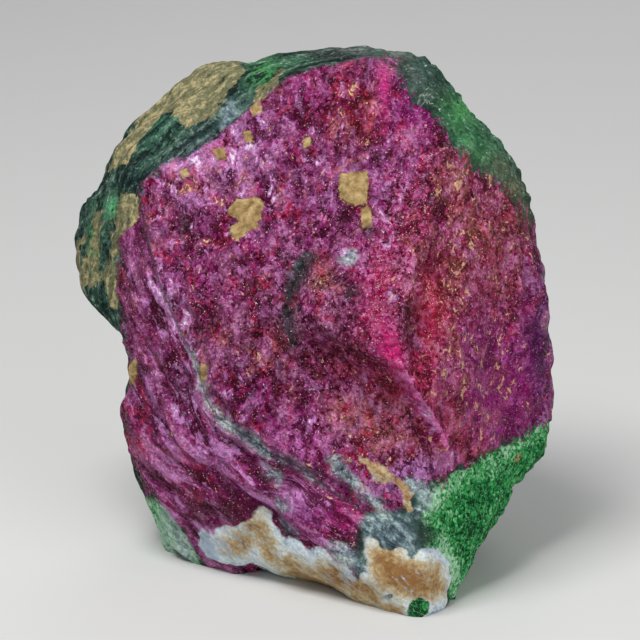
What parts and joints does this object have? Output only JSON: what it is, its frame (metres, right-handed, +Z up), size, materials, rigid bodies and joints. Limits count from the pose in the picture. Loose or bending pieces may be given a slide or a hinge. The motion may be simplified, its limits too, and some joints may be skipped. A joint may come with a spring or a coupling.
{
  "type": "ruby in zoisite specimen",
  "caption": "Free-standing rough piece of ruby in zoisite with broken ruby faces, a green and tan layered crust and a flat spot to stand on.",
  "frame": {"origin": "on the floor below the middle of the stone's box", "axes": "+Z up as the stone stands, -Y towards the viewer of the main ruby faces, +X to the viewer's right"},
  "size_m": [0.0536, 0.0416, 0.0559],
  "materials": {
    "stone": "broken ruby and zoisite, mostly dull with small sparkling crystal grains"
  },
  "bodies": {
    "root": {"ruby_zoisite_stone": "stone"}
  },
  "joints": []
}
